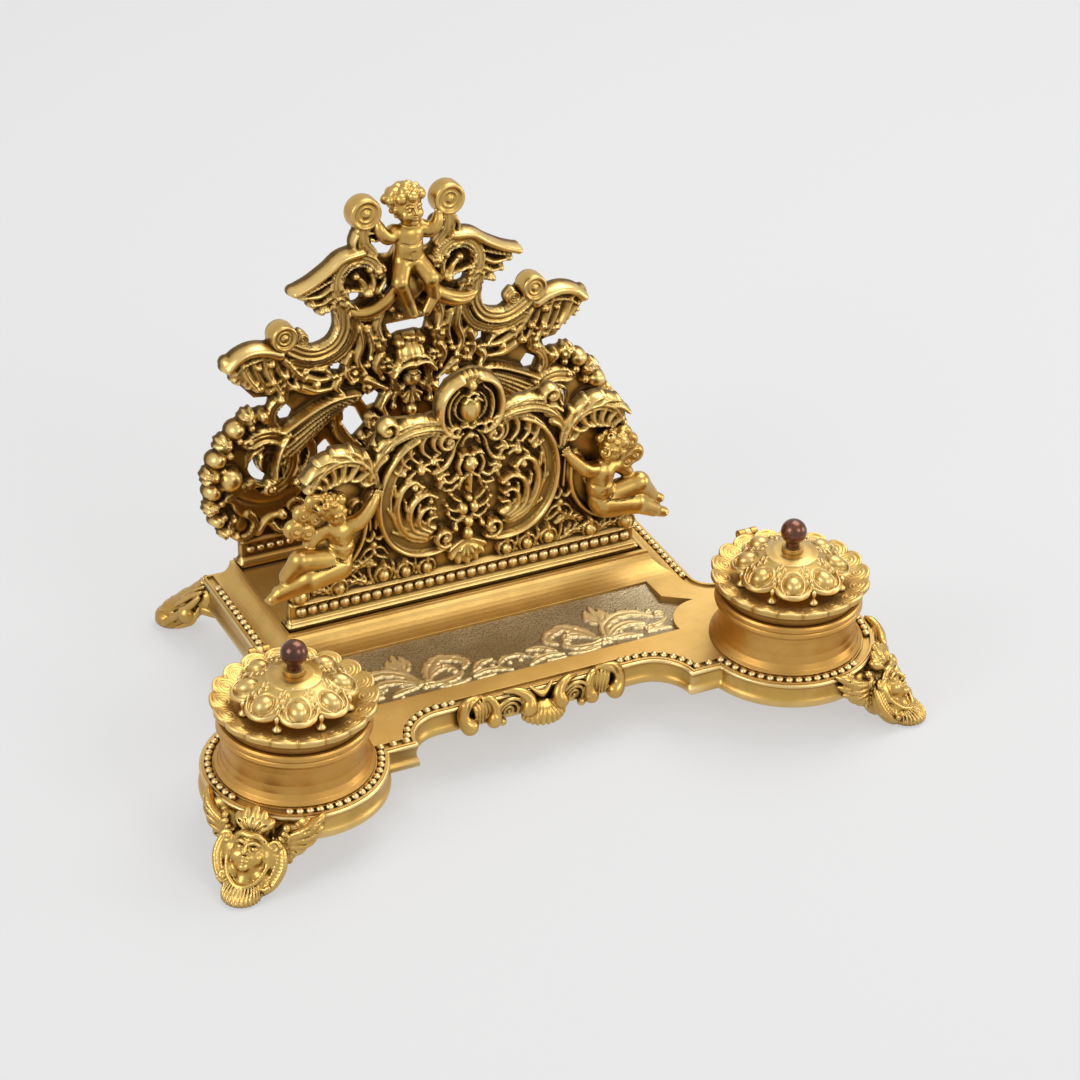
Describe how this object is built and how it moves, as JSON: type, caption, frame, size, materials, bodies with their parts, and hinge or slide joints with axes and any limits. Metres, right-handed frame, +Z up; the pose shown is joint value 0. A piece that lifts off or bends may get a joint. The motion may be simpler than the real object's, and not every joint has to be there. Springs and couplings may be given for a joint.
{
  "type": "desk inkstand",
  "caption": "Cast brass desk inkstand with a pen trough, an upright letter rack of pierced scrollwork plates, lidded round ink wells with hinged domes and glass liners, on scroll feet.",
  "frame": {"origin": "middle of the footprint, on the surface the feet stand on", "axes": "+X along the width, to the right as seen from the front; +Y to the back, from the pen trough towards the letter rack; +Z up"},
  "size_m": [0.3324, 0.2153, 0.2024],
  "materials": {
    "gilt_brass": "satin, darkened in the hollows",
    "pale_brass": "satin, polished on the high points",
    "dark_bronze": "dark brown patina, polished",
    "clear_glass": "clear",
    "steel_screws": "plain"
  },
  "bodies": {
    "stand": {"base_tray": "gilt_brass", "base_beads": "pale_brass", "rack_front": "gilt_brass", "rack_front_beads": "pale_brass", "rack_back": "gilt_brass", "rack_back_beads": "pale_brass", "cherub_left": "pale_brass", "cherub_right": "pale_brass", "cherub_top": "pale_brass", "rack_screws": "steel_screws", "foot_front_left": "pale_brass", "foot_front_right": "pale_brass", "foot_back_left": "pale_brass", "foot_back_right": "pale_brass", "foot_screws": "steel_screws", "front_crest": "pale_brass", "crest_screws": "steel_screws", "well_screws": "steel_screws", "well_left": "gilt_brass", "liner_left": "clear_glass", "hinge_pin_left": "gilt_brass", "well_right": "gilt_brass", "liner_right": "clear_glass", "hinge_pin_right": "gilt_brass"},
    "left_lid": {"lid_left": "gilt_brass", "lid_dome_left": "pale_brass", "finial_collar_left": "gilt_brass", "finial_left": "dark_bronze", "finial_nut_left": "gilt_brass"},
    "right_lid": {"lid_right": "gilt_brass", "lid_dome_right": "pale_brass", "finial_collar_right": "gilt_brass", "finial_right": "dark_bronze", "finial_nut_right": "gilt_brass"}
  },
  "joints": [
    {"name": "left_lid_hinge", "type": "hinge", "parent": "stand", "child": "left_lid", "pos_m": [-0.117, -0.02, 0.06], "axis": [-1, 0, 0], "range_deg": [0, 100]},
    {"name": "right_lid_hinge", "type": "hinge", "parent": "stand", "child": "right_lid", "pos_m": [0.117, -0.02, 0.06], "axis": [-1, 0, 0], "range_deg": [0, 100]}
  ]
}
